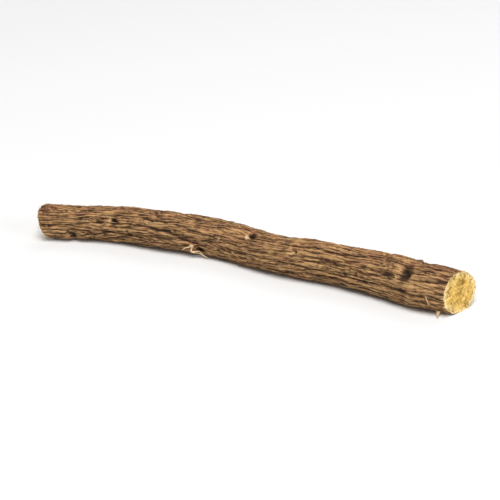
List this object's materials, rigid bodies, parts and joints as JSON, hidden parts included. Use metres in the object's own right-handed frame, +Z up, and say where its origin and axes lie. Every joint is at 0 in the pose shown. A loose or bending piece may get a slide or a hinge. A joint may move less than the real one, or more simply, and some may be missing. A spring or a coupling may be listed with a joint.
{
  "type": "licorice root",
  "caption": "Dried licorice root: one bowed length with lengthwise ridges in its brown bark and slanted pale cuts, lying on its side.",
  "frame": {"origin": "middle of the bounding box, on the surface that the root lies on", "axes": "+X along the root, from its thinner end to its thicker end; +Z up; the front faces -Y"},
  "size_m": [0.156, 0.0234, 0.015],
  "materials": {
    "bark": "dry matt bark, brown, with darker furrows",
    "cut_wood": "dry matt fibrous yellow cut wood"
  },
  "bodies": {
    "root": {"licorice_root": "bark"}
  },
  "joints": []
}
